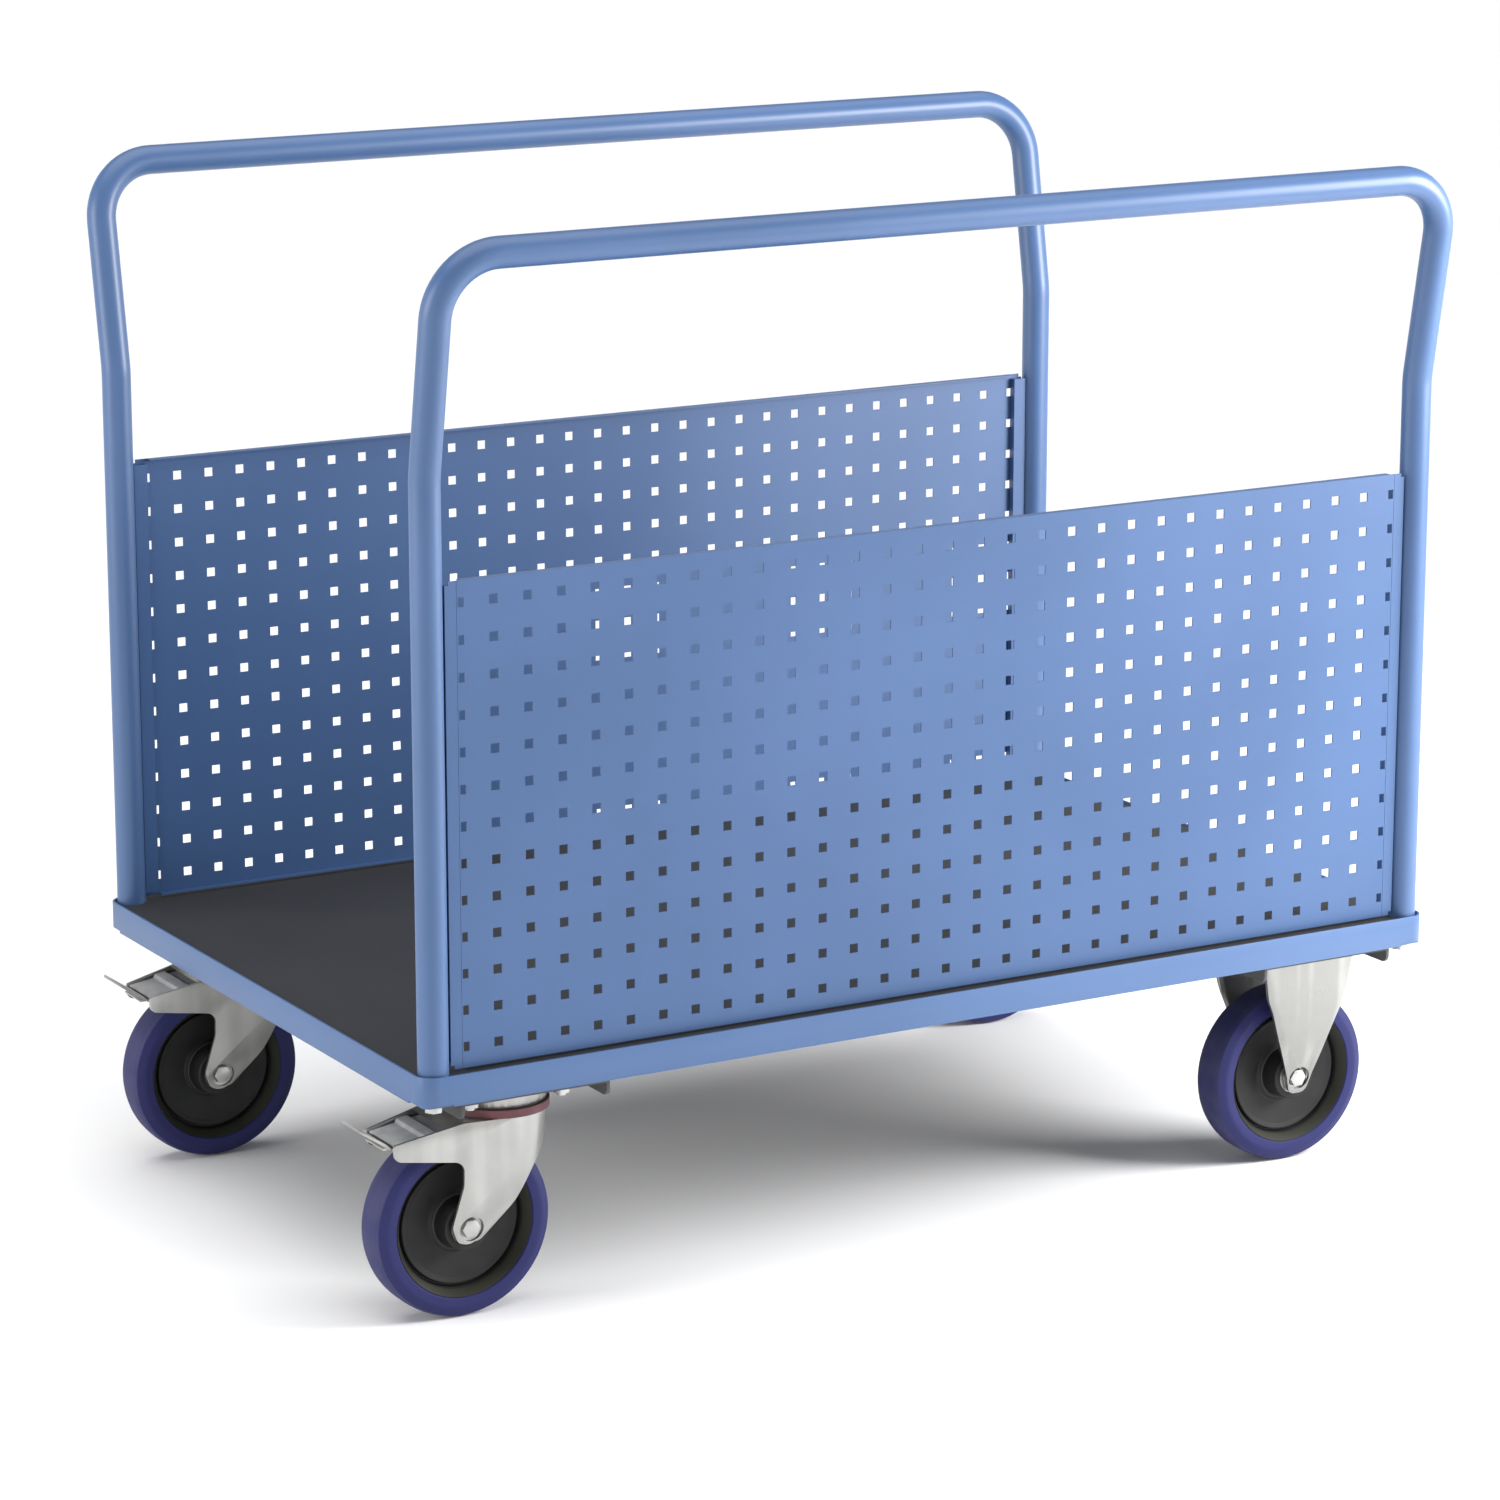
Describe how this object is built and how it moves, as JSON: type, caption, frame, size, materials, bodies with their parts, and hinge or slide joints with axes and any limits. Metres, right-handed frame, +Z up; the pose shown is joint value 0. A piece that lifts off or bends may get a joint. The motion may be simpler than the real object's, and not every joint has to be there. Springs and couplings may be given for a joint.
{
  "type": "flatbed platform truck",
  "caption": "Platform truck with a rimmed deck between two perforated side panels in tube hoops, on braked swivel castors and fixed castors.",
  "frame": {"origin": "centre of the overall box on the floor; the castor axes lie at X -0.4765 and +0.5115", "axes": "+X along the deck from the braked swivel castors to the fixed castors, +Y across the deck, +Z up from the floor"},
  "size_m": [1.285, 0.8696, 1.1295],
  "materials": {
    "blue_powder_coat": "satin light blue powder coat",
    "light_blue_powder_coat": "satin light blue powder coat on thin sheet",
    "deck_covering": "matt anthracite laminate",
    "channel_paint": "matt dark grey paint",
    "zinc_plated_sheet": "bright zinc plated pressed sheet",
    "bright_steel": "zinc plated turned steel",
    "seal_plastic": "dark red moulded seal",
    "wheel_core_plastic": "black moulded wheel core",
    "tyre_rubber": "matt blue elastic rubber"
  },
  "bodies": {
    "chassis": {"deck_rim": "blue_powder_coat", "deck_board": "deck_covering", "channel_swivel": "channel_paint", "channel_fixed": "channel_paint", "hoop_front": "blue_powder_coat", "hoop_rear": "blue_powder_coat", "hoop_inserts": "bright_steel", "hoop_bolts": "bright_steel", "hoop_washers": "bright_steel", "panel_front": "light_blue_powder_coat", "panel_rear": "light_blue_powder_coat", "castor_studs": "bright_steel", "castor_washers": "bright_steel", "castor_nuts": "bright_steel", "swivel_plate_front": "zinc_plated_sheet", "swivel_plate_rear": "zinc_plated_sheet", "seal_ring_front": "seal_plastic", "seal_ring_rear": "seal_plastic", "fixed_fork_front": "zinc_plated_sheet", "fixed_fork_rear": "zinc_plated_sheet", "axle_bolt_fixed_front": "bright_steel", "axle_bolt_fixed_rear": "bright_steel", "axle_nut_fixed_front": "bright_steel", "axle_nut_fixed_rear": "bright_steel", "axle_tube_fixed_front": "bright_steel", "axle_tube_fixed_rear": "bright_steel"},
    "swivel_front": {"kingpin_front": "bright_steel", "ball_ring_front": "bright_steel", "swivel_fork_front": "zinc_plated_sheet", "brake_cover_front": "zinc_plated_sheet", "pedal_pin_front": "bright_steel", "axle_bolt_swivel_front": "bright_steel", "axle_nut_swivel_front": "bright_steel", "axle_tube_swivel_front": "bright_steel"},
    "pedal_front": {"brake_pedal_front": "zinc_plated_sheet", "brake_shoe_front": "bright_steel"},
    "wheel_swivel_front": {"bearings_swivel_front": "bright_steel", "wheel_core_swivel_front": "wheel_core_plastic", "tyre_swivel_front": "tyre_rubber"},
    "wheel_fixed_front": {"bearings_fixed_front": "bright_steel", "wheel_core_fixed_front": "wheel_core_plastic", "tyre_fixed_front": "tyre_rubber"},
    "swivel_rear": {"kingpin_rear": "bright_steel", "ball_ring_rear": "bright_steel", "swivel_fork_rear": "zinc_plated_sheet", "brake_cover_rear": "zinc_plated_sheet", "pedal_pin_rear": "bright_steel", "axle_bolt_swivel_rear": "bright_steel", "axle_nut_swivel_rear": "bright_steel", "axle_tube_swivel_rear": "bright_steel"},
    "pedal_rear": {"brake_pedal_rear": "zinc_plated_sheet", "brake_shoe_rear": "bright_steel"},
    "wheel_swivel_rear": {"bearings_swivel_rear": "bright_steel", "wheel_core_swivel_rear": "wheel_core_plastic", "tyre_swivel_rear": "tyre_rubber"},
    "wheel_fixed_rear": {"bearings_fixed_rear": "bright_steel", "wheel_core_fixed_rear": "wheel_core_plastic", "tyre_fixed_rear": "tyre_rubber"}
  },
  "joints": [
    {"name": "swivel_turn_front", "type": "hinge", "parent": "chassis", "child": "swivel_front", "pos_m": [-0.4765, -0.3075, 0.2], "axis": [0, 0, 1], "continuous": true},
    {"name": "wheel_spin_swivel_front", "type": "hinge", "parent": "swivel_front", "child": "wheel_swivel_front", "pos_m": [-0.5275, -0.3075, 0.1], "axis": [0, 1, 0], "continuous": true},
    {"name": "pedal_press_front", "type": "hinge", "parent": "swivel_front", "child": "pedal_front", "pos_m": [-0.5705, -0.3075, 0.1965], "axis": [0, -1, 0], "range_deg": [0, 11]},
    {"name": "wheel_spin_fixed_front", "type": "hinge", "parent": "chassis", "child": "wheel_fixed_front", "pos_m": [0.5115, -0.3075, 0.1], "axis": [0, 1, 0], "continuous": true},
    {"name": "swivel_turn_rear", "type": "hinge", "parent": "chassis", "child": "swivel_rear", "pos_m": [-0.4765, 0.3075, 0.2], "axis": [0, 0, 1], "continuous": true},
    {"name": "wheel_spin_swivel_rear", "type": "hinge", "parent": "swivel_rear", "child": "wheel_swivel_rear", "pos_m": [-0.5275, 0.3075, 0.1], "axis": [0, 1, 0], "continuous": true},
    {"name": "pedal_press_rear", "type": "hinge", "parent": "swivel_rear", "child": "pedal_rear", "pos_m": [-0.5705, 0.3075, 0.1965], "axis": [0, -1, 0], "range_deg": [0, 11]},
    {"name": "wheel_spin_fixed_rear", "type": "hinge", "parent": "chassis", "child": "wheel_fixed_rear", "pos_m": [0.5115, 0.3075, 0.1], "axis": [0, 1, 0], "continuous": true}
  ]
}
